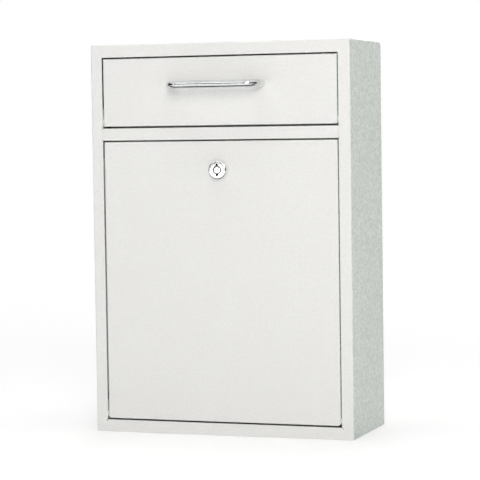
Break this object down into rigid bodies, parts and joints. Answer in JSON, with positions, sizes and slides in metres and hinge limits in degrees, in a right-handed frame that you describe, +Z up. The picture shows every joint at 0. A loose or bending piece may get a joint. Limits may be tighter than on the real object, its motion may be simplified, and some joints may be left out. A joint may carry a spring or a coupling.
{
  "type": "wall-mounted parcel drop box",
  "caption": "Shallow white sheet-steel drop box with a tilt-out hopper and bar handle above a lockable drop-down access door, for fixing to a wall.",
  "frame": {"origin": "centre of the body's flat bottom face", "axes": "+X to the right seen from the front, +Y back to the wall, +Z up"},
  "size_m": [0.284, 0.1464, 0.409],
  "materials": {
    "powder_coat": "textured white powder coat",
    "chrome": "polished",
    "zinc": "bright zinc plate",
    "brass": "turned",
    "nylon": "natural nylon",
    "rubber": "moulded"
  },
  "bodies": {
    "body": {"body_shell": "powder_coat", "left_side": "powder_coat", "right_side": "powder_coat", "mid_rail": "powder_coat", "hopper_hinge_ears": "powder_coat", "hopper_pivot_pins": "zinc", "hopper_spacers": "nylon", "access_hinge_ears": "powder_coat", "access_pivot_pins": "zinc", "access_spacers": "nylon", "access_door_stops": "powder_coat", "hopper_stop_brackets": "powder_coat", "hopper_bumpers": "rubber"},
    "hopper": {"hopper_door": "powder_coat", "hopper_tray": "powder_coat", "left_cheek": "powder_coat", "right_cheek": "powder_coat", "hopper_handle": "chrome", "handle_washers": "zinc", "handle_screws": "zinc"},
    "door": {"access_door": "powder_coat", "lock_barrel": "chrome", "lock_washer": "zinc", "lock_nut": "zinc"},
    "lock_core": {"lock_plug": "chrome", "key_pins": "brass", "lock_cam": "zinc", "cam_washer": "zinc", "cam_screw": "zinc"}
  },
  "joints": [
    {"name": "hopper_tilt", "type": "hinge", "parent": "body", "child": "hopper", "pos_m": [0, -0.05555, 0.3284], "axis": [1, 0, 0], "range_deg": [0, 60]},
    {"name": "door_swing", "type": "hinge", "parent": "body", "child": "door", "pos_m": [0, -0.05555, 0.0194], "axis": [1, 0, 0], "range_deg": [0, 90]},
    {"name": "lock_turn", "type": "hinge", "parent": "door", "child": "lock_core", "pos_m": [0, -0.05975, 0.2771], "axis": [0, 1, 0], "range_deg": [0, 90]}
  ]
}
